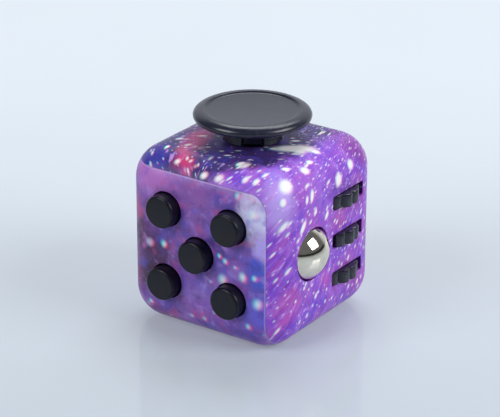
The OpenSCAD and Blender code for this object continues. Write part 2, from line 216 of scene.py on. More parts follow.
def make(name, shape, smooth=35):
    """A mesh object in metres in the row frame."""
    mesh = bpy.data.meshes.new(name)
    lift = Vector((0, 0, HALF))
    mesh.from_pydata([(p + lift) * MM for p in shape.points], [], shape.faces)
    mesh.validate()
    bm = bmesh.new()
    bm.from_mesh(mesh)
    bmesh.ops.recalc_face_normals(bm, faces=bm.faces)
    bm.to_mesh(mesh)
    bm.free()
    obj = bpy.data.objects.new(name, mesh)
    bpy.context.scene.collection.objects.link(obj)
    shade(obj, smooth)
    return obj


def shade(obj, smooth=35):
    obj.data.polygons.foreach_set("use_smooth", [True] * len(obj.data.polygons))
    obj.data.set_sharp_from_angle(angle=math.radians(smooth))


def applied(obj):
    """Replaces the object's mesh with the result of its modifiers."""
    bpy.context.view_layer.update()
    seen = obj.evaluated_get(bpy.context.evaluated_depsgraph_get())
    mesh = bpy.data.meshes.new_from_object(seen)
    obj.modifiers.clear()
    old, obj.data = obj.data, mesh
    bpy.data.meshes.remove(old)


def cut(obj, shape, how="DIFFERENCE"):
    tool = make("tool", shape)
    m = obj.modifiers.new("cut", "BOOLEAN")
    m.operation, m.solver, m.object = how, "EXACT", tool
    applied(obj)
    bpy.data.objects.remove(tool)


# ---------------------------------------------------------------- node helper
def srgb(r, g, b):
    """A colour given as 0 to 255 on screen, as the linear values that shaders take."""
    def one(c):
        c /= 255
        return c / 12.92 if c <= 0.04045 else ((c + 0.055) / 1.055) ** 2.4
    return (one(r), one(g), one(b), 1.0)


class Look:
    """Builds one material's nodes. Arguments are numbers, tuples or the sockets of earlier calls."""

    def __init__(self, name):
        self.material = bpy.data.materials.new(name)
        self.material.use_nodes = True
        self.tree = self.material.node_tree
        self.bsdf = self.tree.nodes["Principled BSDF"]

    def put(self, socket, value):
        if isinstance(value, bpy.types.NodeSocket):
            self.tree.links.new(value, socket)
        elif value is not None:
            socket.default_value = value

    def set(self, **values):
        for name, value in values.items():
            self.put(self.bsdf.inputs[name.replace("_", " ")], value)
        return self

    def math(self, how, a, b=None):
        n = self.tree.nodes.new("ShaderNodeMath")
        n.operation = how
        for socket, value in zip(n.inputs, (a, b)):
            self.put(socket, value)
        return n.outputs[0]

    def add(self, a, b):
        return self.math("ADD", a, b)

    def mul(self, a, b):
        return self.math("MULTIPLY", a, b)

    def sub(self, a, b):
        return self.math("SUBTRACT", a, b)

    def vec(self, how, a, b=None, scale=None):
        n = self.tree.nodes.new("ShaderNodeVectorMath")
        n.operation = how
        self.put(n.inputs[0], a)
        if b is not None:
            self.put(n.inputs[1], b)
        if scale is not None:
            self.put(n.inputs["Scale"], scale)
        return n.outputs["Value" if how in ("LENGTH", "DOT_PRODUCT") else "Vector"]

    def split(self, v):
        n = self.tree.nodes.new("ShaderNodeSeparateXYZ")
        self.put(n.inputs[0], v)
        return n.outputs

    def join(self, x, y, z=0.0):
        n = self.tree.nodes.new("ShaderNodeCombineXYZ")
        for socket, value in zip(n.inputs, (x, y, z)):
            self.put(socket, value)
        return n.outputs[0]

    def ramp(self, value, low, high, to_low=0.0, to_high=1.0, smooth=True):
        n = self.tree.nodes.new("ShaderNodeMapRange")
        n.interpolation_type = "SMOOTHSTEP" if smooth else "LINEAR"
        for socket, v in zip(n.inputs, (value, low, high, to_low, to_high)):
            self.put(socket, v)
        return n.outputs[0]

    def mix(self, share, a, b, how="MIX"):
        n = self.tree.nodes.new("ShaderNodeMix")
        n.data_type, n.blend_type, n.clamp_result = "RGBA", how, False
        self.put(n.inputs[0], share)
        self.put(n.inputs[6], a)
        self.put(n.inputs[7], b)
        return n.outputs[2]

    def noise(self, where, scale, detail=2.0, rough=0.5, warp=0.0, colour=False):
        n = self.tree.nodes.new("ShaderNodeTexNoise")
        for name, value in (("Vector", where), ("Scale", scale), ("Detail", detail),
                            ("Roughness", rough), ("Distortion", warp)):
            self.put(n.inputs[name], value)
        return n.outputs["Color" if colour else "Fac"]

    def cells(self, where, scale, flat=False):
        n = self.tree.nodes.new("ShaderNodeTexVoronoi")
        n.voronoi_dimensions = "2D" if flat else "3D"
        self.put(n.inputs["Vector"], where)
        self.put(n.inputs["Scale"], scale)
        return n.outputs["Distance"], n.outputs["Color"]

    def place(self):
        """The point in millimetres about the cube's centre."""
        n = self.tree.nodes.new("ShaderNodeTexCoord")
        p = self.vec("SCALE", n.outputs["Object"], scale=1 / MM)
        return self.vec("SUBTRACT", p, (0, 0, HALF))

    def normal(self):
        return self.tree.nodes.new("ShaderNodeNewGeometry").outputs["Normal"]

    def bump(self, height, depth):
        """Depth in millimetres for a height of 1."""
        n = self.tree.nodes.new("ShaderNodeBump")
        self.put(n.inputs["Strength"], 1.0)
        self.put(n.inputs["Distance"], depth * MM)
        self.put(n.inputs["Height"], height)
        self.put(self.bsdf.inputs["Normal"], n.outputs[0])


# ---------------------------------------------------------------- materials
def plastic(name, colour, lighter, rough=0.38, shine=0.5, grain=9.0, depth=0.01, dust=0.2):
    """Moulded plastic with a fine spark-eroded grain, faint wear and smudges."""
    k = Look(name)
    p = k.place()
    grain_map = k.noise(p, grain, 3.0, 0.6)
    smudge = k.noise(p, 0.35, 3.0, 0.55, 0.6)
    fleck = k.ramp(k.noise(p, 2.6, 4.0, 0.7), 0.58, 0.74)
    base = k.mix(k.ramp(smudge, 0.3, 0.72), colour, lighter)
    base = k.mix(k.mul(fleck, dust), base, k.mix(0.35, base, srgb(120, 128, 150)))
    k.set(Base_Color=base, Specular_IOR_Level=shine)
    worn = k.ramp(smudge, 0.25, 0.75, rough - 0.05, rough + 0.06)
    k.set(Roughness=k.add(worn, k.mul(grain_map, 0.05)))
    k.bump(grain_map, depth)
    return k.material


def metal(name, colour, rough, lines=0.0):
    """Polished or brushed metal with hair scratches."""
    k = Look(name)
    p = k.place()
    hair = k.noise(k.vec("MULTIPLY", p, (0.6, 9.0, 0.6)), 2.0, 4.0, 0.6)
    spots = k.noise(p, 0.8, 3.0, 0.6)
    stained = k.mix(0.12, colour, srgb(90, 80, 70))
    wear = k.add(k.mul(hair, 0.5), k.mul(spots, 0.5))
    k.set(Base_Color=k.mix(k.ramp(spots, 0.35, 0.7), colour, stained), Metallic=1.0,
          Roughness=k.ramp(wear, 0.3, 0.7, rough, rough * 1.8 + 0.02))
    k.bump(hair, 0.004 + lines)
    return k.material


def soft(name, colour, lighter, rough=0.55):
    """Silicone rubber, slightly cloudy."""
    k = Look(name)
    cloud = k.noise(k.place(), 1.2, 3.0, 0.5)
    k.set(Base_Color=k.mix(cloud, colour, lighter),
          Roughness=k.ramp(cloud, 0.3, 0.7, rough, rough + 0.15),
          Subsurface_Weight=0.2, Subsurface_Radius=(0.001, 0.001, 0.001))
    k.bump(k.noise(k.place(), 5.0, 2.0), 0.01)
    return k.material


def board(name):
    """Green board with a faint weave and pale copper lands."""
    k = Look(name)
    p = k.place()
    x, _, z = k.split(p)
    weave = k.mul(k.math("SINE", k.mul(x, 9.0)), k.math("SINE", k.mul(z, 9.0)))
    cell, _ = k.cells(p, 0.45)
    shade_map = k.ramp(k.add(k.mul(weave, 0.2), k.noise(p, 0.8)), 0.3, 0.8)
    base = k.mix(shade_map, srgb(20, 80, 50), srgb(40, 120, 70))
    k.set(Base_Color=k.mix(k.ramp(cell, 0.16, 0.12), base, srgb(190, 160, 90)), Roughness=0.4)
    k.bump(weave, 0.01)
    return k.material


def patch(k, base, where, colour, centre, radii, strength):
    """Mixes a colour in, in a soft ellipsoid."""
    d = k.vec("DIVIDE", k.vec("SUBTRACT", where, centre), radii)
    inside = k.ramp(k.vec("LENGTH", d), 1.0, 0.25, 0.0, strength)
    return k.mix(inside, base, srgb(*colour))


def star(k, where, centre, along, length, width, core=0.35):
    """How bright a long soft star is at a place."""
    along = Vector(along).normalized()
    d = k.vec("SUBTRACT", where, centre)
    shrink = k.mul(k.vec("DOT_PRODUCT", d, tuple(along)), -(1 - width / length))
    d = k.vec("ADD", d, k.vec("SCALE", tuple(along), scale=shrink))
    return k.ramp(k.vec("LENGTH", d), width, width * core)


def star_cells(k, where, scale, small, large, power=3.0, keep=0.5, flat=False):
    """Stars of random size, at most one in each cell, and the cell's random colour."""
    d, colour = k.cells(where, scale, flat)
    r, g, b = k.split(colour)
    size = k.add(small, k.mul(k.math("POWER", r, power), large - small))
    shown = k.math("GREATER_THAN", g, 1 - keep)
    return k.mul(k.ramp(d, size, k.mul(size, 0.25)), shown), b


def screen(k, base, red, blue, strength=1.0, tint=(1, 1, 1)):
    """Lays light over the print with its red and its blue a little apart."""
    light = k.join(k.mul(red, strength * tint[0]), k.mul(blue, strength * tint[1]),
                   k.mul(blue, strength * tint[2]))
    return k.mix(1.0, base, light, "SCREEN")


def band(k, where, centre, along, length, width, strength):
    """How strongly a long soft streak of colour shows at a place."""
    return k.mul(star(k, where, centre, along, length, width, 0.1), strength)


def star_layer(k, base, sheet, scale, stretch, offset, small, large, keep, strength, power, where):
    """Stars spread over a sheet, each drawn out along the sheet's first direction, with a soft glow."""
    at = k.vec("ADD", k.vec("MULTIPLY", sheet, (stretch, 1.0, 1.0)), offset)
    red, _ = star_cells(k, at, scale, small, large, power, keep, flat=True)
    beside = k.vec("ADD", at, (0.0, 0.12, 0.0))
    blue, _ = star_cells(k, beside, scale, small, large, power, keep, flat=True)
    return screen(k, base, k.mul(red, where), k.mul(blue, where), strength)


def warped(k, p, scale, amount):
    """A place pushed about by cloudy noise, by up to half the amount in millimetres."""
    push = k.vec("SUBTRACT", k.noise(p, scale, 3.0, 0.6, colour=True), (0.5, 0.5, 0.5))
    return k.vec("ADD", p, k.vec("SCALE", push, scale=amount))


def brightest(k, marks):
    best = marks[0]
    for mark in marks[1:]:
        best = k.math("MAXIMUM", best, mark)
    return best


def rear_print():
    k = Look("print_rear")
    p = k.place()
    x, y, z = k.split(p)
    q = warped(k, p, 0.16, 6.0)
    # The top and the right face are one flat sheet. Streaks run towards a point behind the top's
    # right corner.
    back = k.ramp(k.split(k.normal())[1], 0.70, 0.72, smooth=False)
    fold = k.mul(k.sub(z, HALF), k.ramp(x, -2.0, 2.0, -1.0, 1.0))
    s, t = y, k.add(k.sub(HALF, x), fold)
    ds, dt = k.sub(22.0, s), k.sub(9.0, t)
    reach = k.math("SQRT", k.add(k.mul(ds, ds), k.mul(dt, dt)))
    angle = k.mul(k.math("ARCTAN2", dt, ds), 28.0)
    side = k.join(k.sub(k.mul(x, 0.6), k.mul(z, 0.8)), k.add(k.mul(x, 0.8), k.mul(z, 0.6)))
    side = k.vec("ADD", side, (60, 20, 0))
    n = k.tree.nodes.new("ShaderNodeMix")
    n.data_type = "VECTOR"
    k.put(n.inputs[0], back)
    k.put(n.inputs[4], k.join(reach, angle))
    k.put(n.inputs[5], side)
    sheet = n.outputs[1]
    # Round the collar the stars are drawn out from left to right instead.
    level = k.join(k.add(k.mul(x, 0.82), k.mul(y, 0.57)), k.sub(k.mul(y, 0.82), k.mul(x, 0.57)))
    by_collar = k.ramp(k.vec("LENGTH", k.vec("SUBTRACT", p, (1.0, -1.5, 16.5))), 12.0, 8.0)
    away = k.sub(1.0, by_collar)

    # Nebula colours; the pale patch at the top front corner is also a painted highlight
    cloud = k.noise(q, 0.12, 3.0, 0.5)
    fine = k.noise(p, 0.5, 3.0, 0.6, 0.4)
    violet = k.mix(k.ramp(cloud, 0.35, 0.68), srgb(120, 64, 216), srgb(166, 84, 206))
    base = k.mix(k.ramp(fine, 0.4, 0.75), violet, srgb(168, 108, 226))
    limit = k.sub(k.ramp(y, -9.0, -15.5, 11.0, 3.0), k.mul(k.sub(fine, 0.5), 5.0))
    inside = k.ramp(k.sub(x, limit), 1.2, -2.4)
    dark = k.mix(k.ramp(cloud, 0.3, 0.7), srgb(34, 28, 92), srgb(62, 38, 112))
    dark = k.mix(k.ramp(fine, 0.45, 0.7), dark, srgb(68, 60, 158))
    base = k.mix(k.mul(inside, k.ramp(z, 9.0, 12.0)), base, dark)
    for colour, centre, radii, strength in (
        ((110, 52, 110), (-11, 4, 15), (7, 10, 5), 0.9),
        ((96, 48, 116), (-3, 12, 15), (9, 6, 5), 0.7),
        ((50, 58, 180), (-11, -13, 14), (5, 5, 4), 0.8),
        ((56, 50, 150), (0, -11, 16), (5, 4, 4), 0.5),
        # This pale patch at the top front corner is pale print with a painted highlight on it.
        ((200, 180, 255), (14, -13, 12), (5, 5, 7), 0.75),
        ((180, 120, 230), (15, -3, 13), (5, 8, 4), 0.5),
        ((140, 62, 150), (13, 12, 14), (7, 6, 5), 0.8),
        ((160, 50, 150), (16, 8, 7), (4, 5, 4), 0.7),
        ((84, 50, 170), (16, 3, 9), (3, 5, 3), 0.55),
        ((190, 60, 150), (16, 3, 4), (3, 3, 3), 0.5),
        ((120, 62, 200), (16, -9, -3), (4, 5, 6), 0.5),
        ((196, 78, 170), (16, -12, -7), (4, 4, 5), 0.45),
        ((136, 84, 180), (15, 14, -2), (5, 4, 13), 0.7),
        ((176, 60, 150), (16, 9, -10), (4, 5, 4), 0.5),
    ):
        base = patch(k, base, q, colour, centre, radii, strength)
    for colour, centre, along, length, width, strength in (
        ((206, 60, 140), (-7.2, -6.0, 16.5), (0.2, -1.0, 0.0), 8.5, 3.0, 0.95),
        ((214, 60, 120), (-5.2, -13.0, 15.5), (0.3, -1.0, -0.2), 5.0, 2.6, 0.95),
        ((130, 40, 110), (-1.0, 3.0, 16.5), (1.0, 0.3, 0.0), 5.0, 2.2, 0.6),
    ):
        base = k.mix(band(k, q, centre, along, length, width, strength), base, srgb(*colour))

    # Fine streaks, strongest low on the right face
    low = k.mul(k.ramp(z, 12.0, -6.0, 0.45, 1.0), k.sub(1.0, k.mul(inside, 0.6)))
    thin = k.noise(k.vec("MULTIPLY", sheet, (0.24, 1.7, 1.0)), 1.0, 5.0, 0.7)
    at = k.vec("ADD", k.vec("MULTIPLY", sheet, (0.16, 0.8, 1.0)), (9.0, 4.0, 0.0))
    pink = k.noise(at, 1.0, 4.0, 0.65)
    base = k.mix(k.mul(k.ramp(pink, 0.5, 0.7), k.mul(low, 0.7)), base, srgb(206, 84, 190))
    base = k.mix(k.mul(k.ramp(pink, 0.46, 0.3), k.mul(low, 0.6)), base, srgb(96, 62, 206))
    base = k.mix(k.mul(k.ramp(thin, 0.52, 0.72), k.mul(low, 0.75)), base, srgb(204, 150, 250))
    base = k.mix(k.mul(k.ramp(thin, 0.47, 0.3), k.mul(low, 0.7)), base, srgb(92, 30, 140))
    at = k.vec("ADD", k.vec("MULTIPLY", sheet, (0.45, 1.3, 1.0)), (2.0, 8.0, 0.0))
    dots = k.noise(at, 1.0, 2.0, 0.5)
    base = k.mix(k.mul(k.ramp(dots, 0.60, 0.70), k.mul(away, 0.6)), base, srgb(222, 176, 255))

    # Small stars everywhere, then the big ones, each in its own place
    base = star_layer(k, base, level, 1.0, 0.4, (3.0, 7.0, 0.0), 0.08, 0.34, 0.6, 1.0, 2.5, by_collar)
    base = star_layer(k, base, level, 0.45, 0.4, (8.0, 1.0, 0.0), 0.06, 0.24, 0.6, 1.0, 2.5, by_collar)
    base = star_layer(k, base, sheet, 1.1, 0.5, (14.0, 6.0, 0.0), 0.10, 0.38, 0.6, 0.7, 3.0, away)
    base = star_layer(k, base, sheet, 0.55, 0.42, (7.0, 3.0, 0.0), 0.08, 0.34, 0.55, 0.85, 2.5, away)
    base = star_layer(k, base, sheet, 0.3, 0.5, (0.0, 0.0, 0.0), 0.06, 0.26, 0.5, 0.9, 2.5, away)
    reds, blues = [], []
    for centre, along, length, width in (
        ((9.2, 0.0, 16.5), (0.82, 0.57, 0), 5.2, 2.0),
        ((10.0, 0.2, 16.5), (0.5, -0.8, 0), 2.8, 1.8),
        ((12.4, 1.6, 16.2), (0.82, 0.57, 0), 1.4, 0.8),
        ((6.2, -2.2, 16.5), (0.82, 0.57, 0), 1.1, 0.6),
        ((-9.8, -11.6, 16.2), (0.3, 1, 0), 0.7, 0.5),
        ((-6.0, -14.4, 15.5), (0.3, 1, 0), 1.3, 0.9),
        ((-2.2, -14.6, 15.6), (0.3, 1, 0), 1.3, 0.8),
        ((-3.6, -13.6, 15.9), (0.3, 1, 0), 0.9, 0.6),
        ((0.2, -15.3, 14.6), (0.5, 1, 0), 1.5, 1.0),
        ((3.2, -15.2, 14.8), (0.8, 1, 0), 1.7, 1.1),
        ((5.3, -11.0, 16.5), (0.4, 1, 0), 1.3, 0.8),
        ((8.2, -14.8, 15.4), (0.2, 1, 0), 2.2, 0.9),
        ((10.4, -14.4, 15.4), (0.2, 1, 0), 1.9, 0.8),
        ((12.4, -8.0, 16.0), (0.3, 1, 0), 1.0, 0.6),
        ((14.6, -11.0, 14.4), (0.3, 0.7, 0.6), 2.1, 1.7),
        ((14.2, -4.5, 15.0), (0.2, 0.7, -0.2), 1.4, 1.0),
        ((13.5, -2.0, 15.6), (0.2, 0.7, 0), 1.0, 0.6),
        ((16.2, 2.8, 11.3), (0.1, 0.4, 0.9), 1.8, 1.3),
        ((15.9, 7.2, 12.6), (0.2, 0.4, 0.9), 1.4, 1.1),
        ((16.4, -5.6, 11.2), (0, 0.35, 0.9), 1.7, 0.7),
        ((16.4, -7.2, 11.0), (0, 0.35, 0.9), 1.1, 0.6),
        ((16.5, -8.4, 6.4), (0, 0.6, 0.8), 1.8, 0.8),
        ((16.5, -4.6, 8.0), (0, 0.4, 0.9), 1.1, 0.5),
        ((16.5, -1.0, 6.2), (0, 0.5, 0.9), 1.2, 0.5),
        ((15.6, -13.0, 12.4), (0, 0.5, 0.8), 1.0, 0.8),
    ):
        reds.append(star(k, p, centre, along, length, width, 0.4))
        shift = tuple(Vector(centre) + Vector((-0.16, -0.14, 0.0)))
        blues.append(star(k, p, shift, along, length, width, 0.4))
    base = screen(k, base, brightest(k, reds), brightest(k, blues), 1.0)
    finish_print(k, base, p)
    return k.material


def front_print():
    k = Look("print_front")
    p = k.place()
    x, y, z = k.split(p)
    q = warped(k, p, 0.2, 8.0)
    cloud = k.noise(p, 0.2, 2.0, 0.5, 0.3)
    mottle = k.noise(p, 0.42, 3.0, 0.55, 0.3)
    base = k.mix(k.ramp(cloud, 0.32, 0.68), srgb(100, 76, 176), srgb(146, 92, 182))
    for colour, centre, radii, strength in (
        ((196, 122, 206), (-10, -16, 13), (9, 6, 5), 0.9),
        ((150, 92, 170), (-1, -16, 10), (6, 5, 6), 0.7),
        ((84, 42, 84), (-13, -16, 1), (6, 5, 8), 1.0),
        ((74, 36, 84), (-8, -16, -2), (6, 4, 6), 0.9),
        # This near-white patch at the top right corner is pale print with a painted highlight on it.
        ((222, 220, 255), (12, -15, 10), (6, 5, 7), 1.0),
        ((190, 176, 255), (14, -15, 4), (4, 5, 5), 0.9),
        ((60, 92, 214), (12, -16, -1), (3.5, 4, 4), 0.75),
        ((150, 116, 210), (5, -16, -5), (5, 4, 4), 0.75),
        ((150, 118, 206), (-1, -16, -8), (5, 4, 3), 0.6),
        ((104, 100, 224), (11, -16, -8), (5, 5, 5), 0.8),
        ((92, 66, 170), (7, -16, -13), (7, 5, 3), 0.7),
        ((128, 98, 178), (-3, -16, -12), (5, 4, 3), 0.6),
        ((70, 40, 72), (-10, -16, -7), (7, 5, 5), 1.0),
        ((128, 44, 104), (-14.5, -14, -8), (3.5, 6, 6), 0.85),
        ((130, 56, 120), (-10, -14, -14), (6, 5, 3), 0.75),
        ((54, 48, 128), (4, -16, 2.5), (3, 3, 3), 0.85),
        ((66, 56, 140), (2, -16, 7), (2.5, 3, 2.5), 0.6),
        ((176, 60, 120), (-13, -16, 6), (1.5, 3, 4), 0.6),
    ):
        base = patch(k, base, q, colour, centre, radii, strength)
    base = k.mix(k.mul(k.ramp(mottle, 0.52, 0.75), 0.5), base, srgb(186, 156, 242))
    base = k.mix(k.mul(k.ramp(mottle, 0.46, 0.25), 0.55), base, srgb(74, 36, 104))
    hue = k.noise(k.vec("ADD", p, (30, 0, 0)), 0.3, 2.0)
    base = k.mix(k.mul(k.ramp(hue, 0.55, 0.72), 0.45), base, srgb(206, 84, 152))
    base = k.mix(k.mul(k.ramp(hue, 0.45, 0.3), 0.35), base, srgb(78, 90, 216))
    for number, (scale, small, large, keep, strength) in enumerate((
        (0.2, 0.05, 0.26, 0.55, 0.6), (0.4, 0.1, 0.34, 0.4, 0.35),
    )):
        where = k.vec("ADD", p, (11.0 * number, 5.0, 3.0))
        red, _ = star_cells(k, where, scale, small, large, keep=keep)
        blue, _ = star_cells(k, k.vec("ADD", where, (0.4, 0, 0)), scale, small, large, keep=keep)
        base = screen(k, base, red, blue, strength, (1.0, 0.75, 1.0))
    reds, blues = [], []
    for centre, width in (
        ((5.3, -16.5, -3.5), 1.3), ((9.5, -16.5, -1.9), 1.1), ((12.4, -16.3, -6.4), 1.3),
        ((5.8, -16.5, 0.2), 0.7), ((4.6, -16.5, 0.9), 0.6), ((-7.3, -16.5, 0.1), 0.9),
        ((11.6, -16.3, 10.2), 1.0), ((8.0, -16.2, 13.0), 0.9), ((11.8, -16.4, -1.6), 0.7),
        ((1.2, -16.5, -12.4), 0.8), ((-1.6, -16.5, -12.6), 0.7), ((10.6, -16.2, -11.0), 0.8),
        ((-10.5, -16.3, -12.0), 0.7),
    ):
        for marks, shift in ((reds, (0.3, 0, -0.1)), (blues, (-0.15, 0, 0.05))):
            at = tuple(Vector(centre) + Vector(shift))
            marks.append(star(k, p, at, (0, 0, 1), width * 1.2, width, 0.0))
    base = screen(k, base, brightest(k, reds), brightest(k, blues), 0.95, (0.95, 0.9, 1.0))
    # A pale band painted along the lip at the seam: a painted highlight on the rounded lip.
    far = k.math("MAXIMUM", k.math("MAXIMUM", x, y), z)
    base = k.mix(k.ramp(far, SEAM - 0.28, SEAM - 0.1, 0.0, 0.45), base, srgb(205, 180, 240))
    finish_print(k, base, p)
    return k.material


def finish_print(k, base, p):
    """Satin lacquer over the print: fine dots, slight orange peel."""
    dots = k.noise(p, 4.5, 2.0, 0.6)
    base = k.mix(k.mul(k.ramp(dots, 0.35, 0.7), 0.12), base, k.mix(0.35, base, srgb(225, 215, 255)))
    peel = k.noise(p, 0.7, 3.0, 0.5)
    k.set(Base_Color=base, Roughness=k.ramp(peel, 0.3, 0.7, 0.36, 0.46),
          Specular_IOR_Level=0.26, Coat_Weight=0.1, Coat_Roughness=0.18)
    k.bump(k.add(k.mul(peel, 0.7), k.mul(dots, 0.3)), 0.012)


def core_point(point):
    """The nearest point of the sharp inner cube that the rounded cube is swollen from."""
    return Vector([max(-CORE, min(CORE, c)) for c in point])


def seam_points():
    """Points along the seam on the outside of the casing."""
    mid = SEAM + SEAM_GAP / 2
    small = mid - CORE
    wide = math.sqrt(CORNER ** 2 - small ** 2)
    path = []
    for turn in range(3):
        # Round the -Y face's upper right corner, then over the edge below it; the next turns are its copies.
        one = [Vector((CORE + small * math.sin(a), -CORE - wide, CORE + small * math.cos(a)))
               for a in np.linspace(0, math.pi / 2, 13)]
        two = [Vector((mid, -CORE - wide * math.cos(a), -CORE - wide * math.sin(a)))
               for a in np.linspace(0, math.pi / 2, 13)]
        order = [(0, 1, 2), (2, 0, 1), (1, 2, 0)][turn]
        path += [Vector((v[order[0]], v[order[1]], v[order[2]])) for v in one + two]
    return path


def seam_groove():
    """A narrow groove with rounded lips, swept along the seam."""
    path = seam_points()
    gap, lip = 0.02, 0.07
    bend = [(-gap - lip + lip * math.sin(a), -lip + lip * math.cos(a))
            for a in np.linspace(0.15, math.pi / 2, 4)]
    left = [(-gap - lip - 0.06, 0.02)] + bend
    right = [(-u, v) for u, v in reversed(left)]
    outline = [(-gap - lip - 0.06, 0.35)] + left + right + [(gap + lip + 0.06, 0.35)]
    rings = []
    for i, point in enumerate(path):
        out = (point - core_point(point)).normalized()
        along = (path[(i + 1) % len(path)] - path[i - 1]).normalized()
        across = out.cross(along).normalized()
        rings.append([point + across * u + out * v for u, v in outline])
    n, shape = len(outline), Shape()
    for ring in rings:
        shape.points += ring
    for k in range(len(rings)):
        after = (k + 1) % len(rings)
        for i in range(n):
            j = (i + 1) % n
            shape.faces.append([k * n + i, k * n + j, after * n + j, after * n + i])
    return shape


# ---------------------------------------------------------------- shells
def round_hole(radius, lip):
    return lathe([(0, HOLE_FLOOR), (radius, HOLE_FLOOR)] + arc((radius + lip, HALF - lip), lip, 180, 96, 4)
                 + [(radius + lip, HALF + 1), (0, HALF + 1)])


def ball_hole():
    clear, lip = BALL_R + 0.3, 0.14
    rise = HALF - lip - BALL_DEPTH
    reach = math.sqrt(clear ** 2 - rise ** 2)
    wall = arc((0, BALL_DEPTH), clear, 0, math.degrees(math.asin(rise / clear)), 8)
    return lathe([(0, BALL_DEPTH)] + wall + arc((reach + lip, HALF - lip), lip, 165, 96, 3)
                 + [(reach + lip, HALF + 1), (0, HALF + 1)])


def gear_slot():
    """The slot is longer towards the back of the cube than towards the front."""
    clear, lip, corner, rings = GEAR_R + 0.45, 0.12, 0.3, []
    high, more = SLOT_W / 2, SLOT_EXTRA / 2
    for depth in (HOLE_FLOOR, 14.2, 15.0, 15.7, HALF - lip):
        reach = math.sqrt(clear ** 2 - (depth - GEAR_DEPTH) ** 2) + more
        rings.append(round_rect(reach, high, corner, depth))
    reach = math.sqrt(clear ** 2 - (HALF - lip - GEAR_DEPTH) ** 2) + more
    for r, z in arc((lip, HALF - lip), lip, 150, 96, 3) + [(lip, HALF + 1)]:
        rings.append(round_rect(reach + r, high + r, corner + r, z))
    return loft(rings).moved((more, 0, 0))


def rocker_window():
    lip, wide, high, corner = 0.25, 4.2, 7.2, 0.6
    rings = [round_rect(wide, high, corner, HOLE_FLOOR)]
    for r, z in arc((lip, HALF - lip), lip, 180, 96, 4) + [(lip, HALF + 1)]:
        rings.append(round_rect(wide + r, high + r, corner + r, z))
    return loft(rings)


def worry_dimple():
    rim, depth = 8.4, 1.0
    outline = [(rim * i / 16, HALF - depth * (1 - (i / 16) ** 2) ** 2) for i in range(16)]
    return lathe(outline + [(rim, HALF + 0.004), (rim, HALF + 1), (0, HALF + 1)])


def shell(name, *holes):
    """One half of the casing, cut from the hollow rounded cube along the seam."""
    body = rounded_cube(HALF, CORNER).add(rounded_cube(INNER, INNER_CORNER, 6).flipped())
    mesh = bpy.data.meshes.new(name)
    lift = Vector((0, 0, HALF))
    mesh.from_pydata([(p + lift) * MM for p in body.points], [], body.faces)
    obj = bpy.data.objects.new(name, mesh)
    bpy.context.scene.collection.objects.link(obj)
    for shape in holes:
        cut(obj, shape)
    cut(obj, seam_groove())
    size = HALF + 4
    shift = SEAM - size + (SEAM_GAP if name == "rear_shell_printed" else 0)
    block = rounded_cube(size, SEAM_CORNER).moved((shift, shift, shift))
    cut(obj, block, "DIFFERENCE" if name == "rear_shell_printed" else "INTERSECT")
    shade(obj, 30)
    mesh = obj.data
    normals = []
    for face in mesh.polygons:
        for i in face.loop_indices:
            p = mesh.vertices[mesh.loops[i].vertex_index].co / MM - lift
            away = p - core_point(p)
            on_skin = abs(away.length - CORNER) < 0.012
            away = away.normalized()
            normals.append(away if on_skin and face.normal.dot(away) > 0.85 else Vector((0, 0, 0)))
    mesh.normals_split_custom_set(normals)
    return obj


front_holes = Shape()
for side, up in BUTTONS.values():
    front_holes.add(round_hole(BUTTON_R + 0.2, 0.15).on("click", side * PITCH, up * PITCH))
front_holes.add(rocker_window().on("flip")).add(worry_dimple().on("bottom"))
rear_holes = Shape().add(round_hole(4.3, 0.3).on("glide")).add(round_hole(9.5, 0.25).on("spin"))
for level in GEARS.values():
    rear_holes.add(gear_slot().on("roll", GEAR_SIDE, level * GEAR_PITCH))

front_shell = shell("front_shell_printed", front_holes)
rear_shell = shell("rear_shell_printed", rear_holes, ball_hole().on("roll", BALL_SIDE, BALL_UP))


# ---------------------------------------------------------------- controls
def click_button(name, side, up):
    top, edge = HALF + 2.2, 0.5
    outline = ([(0, 13.0), (1.2, 13.0), (1.2, 13.8), (FLANGE_R - 0.1, 13.8), (FLANGE_R, 13.9),
                (FLANGE_R, 14.5), (FLANGE_R - 0.1, 14.6), (BUTTON_R, 14.6), (BUTTON_R, top - edge - 0.3)]
               + arc((BUTTON_R - edge, top - edge), edge, 0, 90, 8) + [(0, top)])
    return make("click_button_" + name + "_cap", lathe(outline).on("click", side * PITCH, up * PITCH))


def glide_cap():
    top, foot, rolled, flat = DISC_TOP, 16.95, 0.75, 8.6
    under = top - 1.17

    def ribbed(r, z, a):
        """The collar has four ribs, a quarter turn apart."""
        if r < 4.3 or r > 4.7 or z > top - 1.95:
            return r
        off = abs((math.degrees(a) - RIB_TURN + 45) % 90 - 45)
        flare = 0.25 - 0.5 * (z - foot) / (top - 2.1 - foot)
        return r + (0.9 + flare) * max(0.0, min(1.0, (26.5 - off) / 2.5))

    turns = [t * math.pi / 24 for t in range(1, 12)]
    shoulder = [(flat + (DISC_R - flat) * math.cos(a), under + 1.17 * math.sin(a)) for a in turns]
    outline = ([(0, 16.2), (0.7, 16.2), (0.7, 13.35), (2.1, 13.35), (2.1, 16.8), (4.3, 16.8),
                (4.5, foot), (4.5, top - 2.1), (4.6, top - 1.94), (8.0, top - 1.93)]
               + arc((DISC_R - rolled, under), rolled, -85, 0, 8) + shoulder
               + [(flat, top), (8.5, top - 0.03), (8.38, top - 0.1), (8.26, top - 0.24),
                  (8.1, top - 0.32), (7.8, top - 0.35), (0, top - 0.35)])
    return make("glide_cap_moulded", lathe(outline, 288, ribbed), 28)


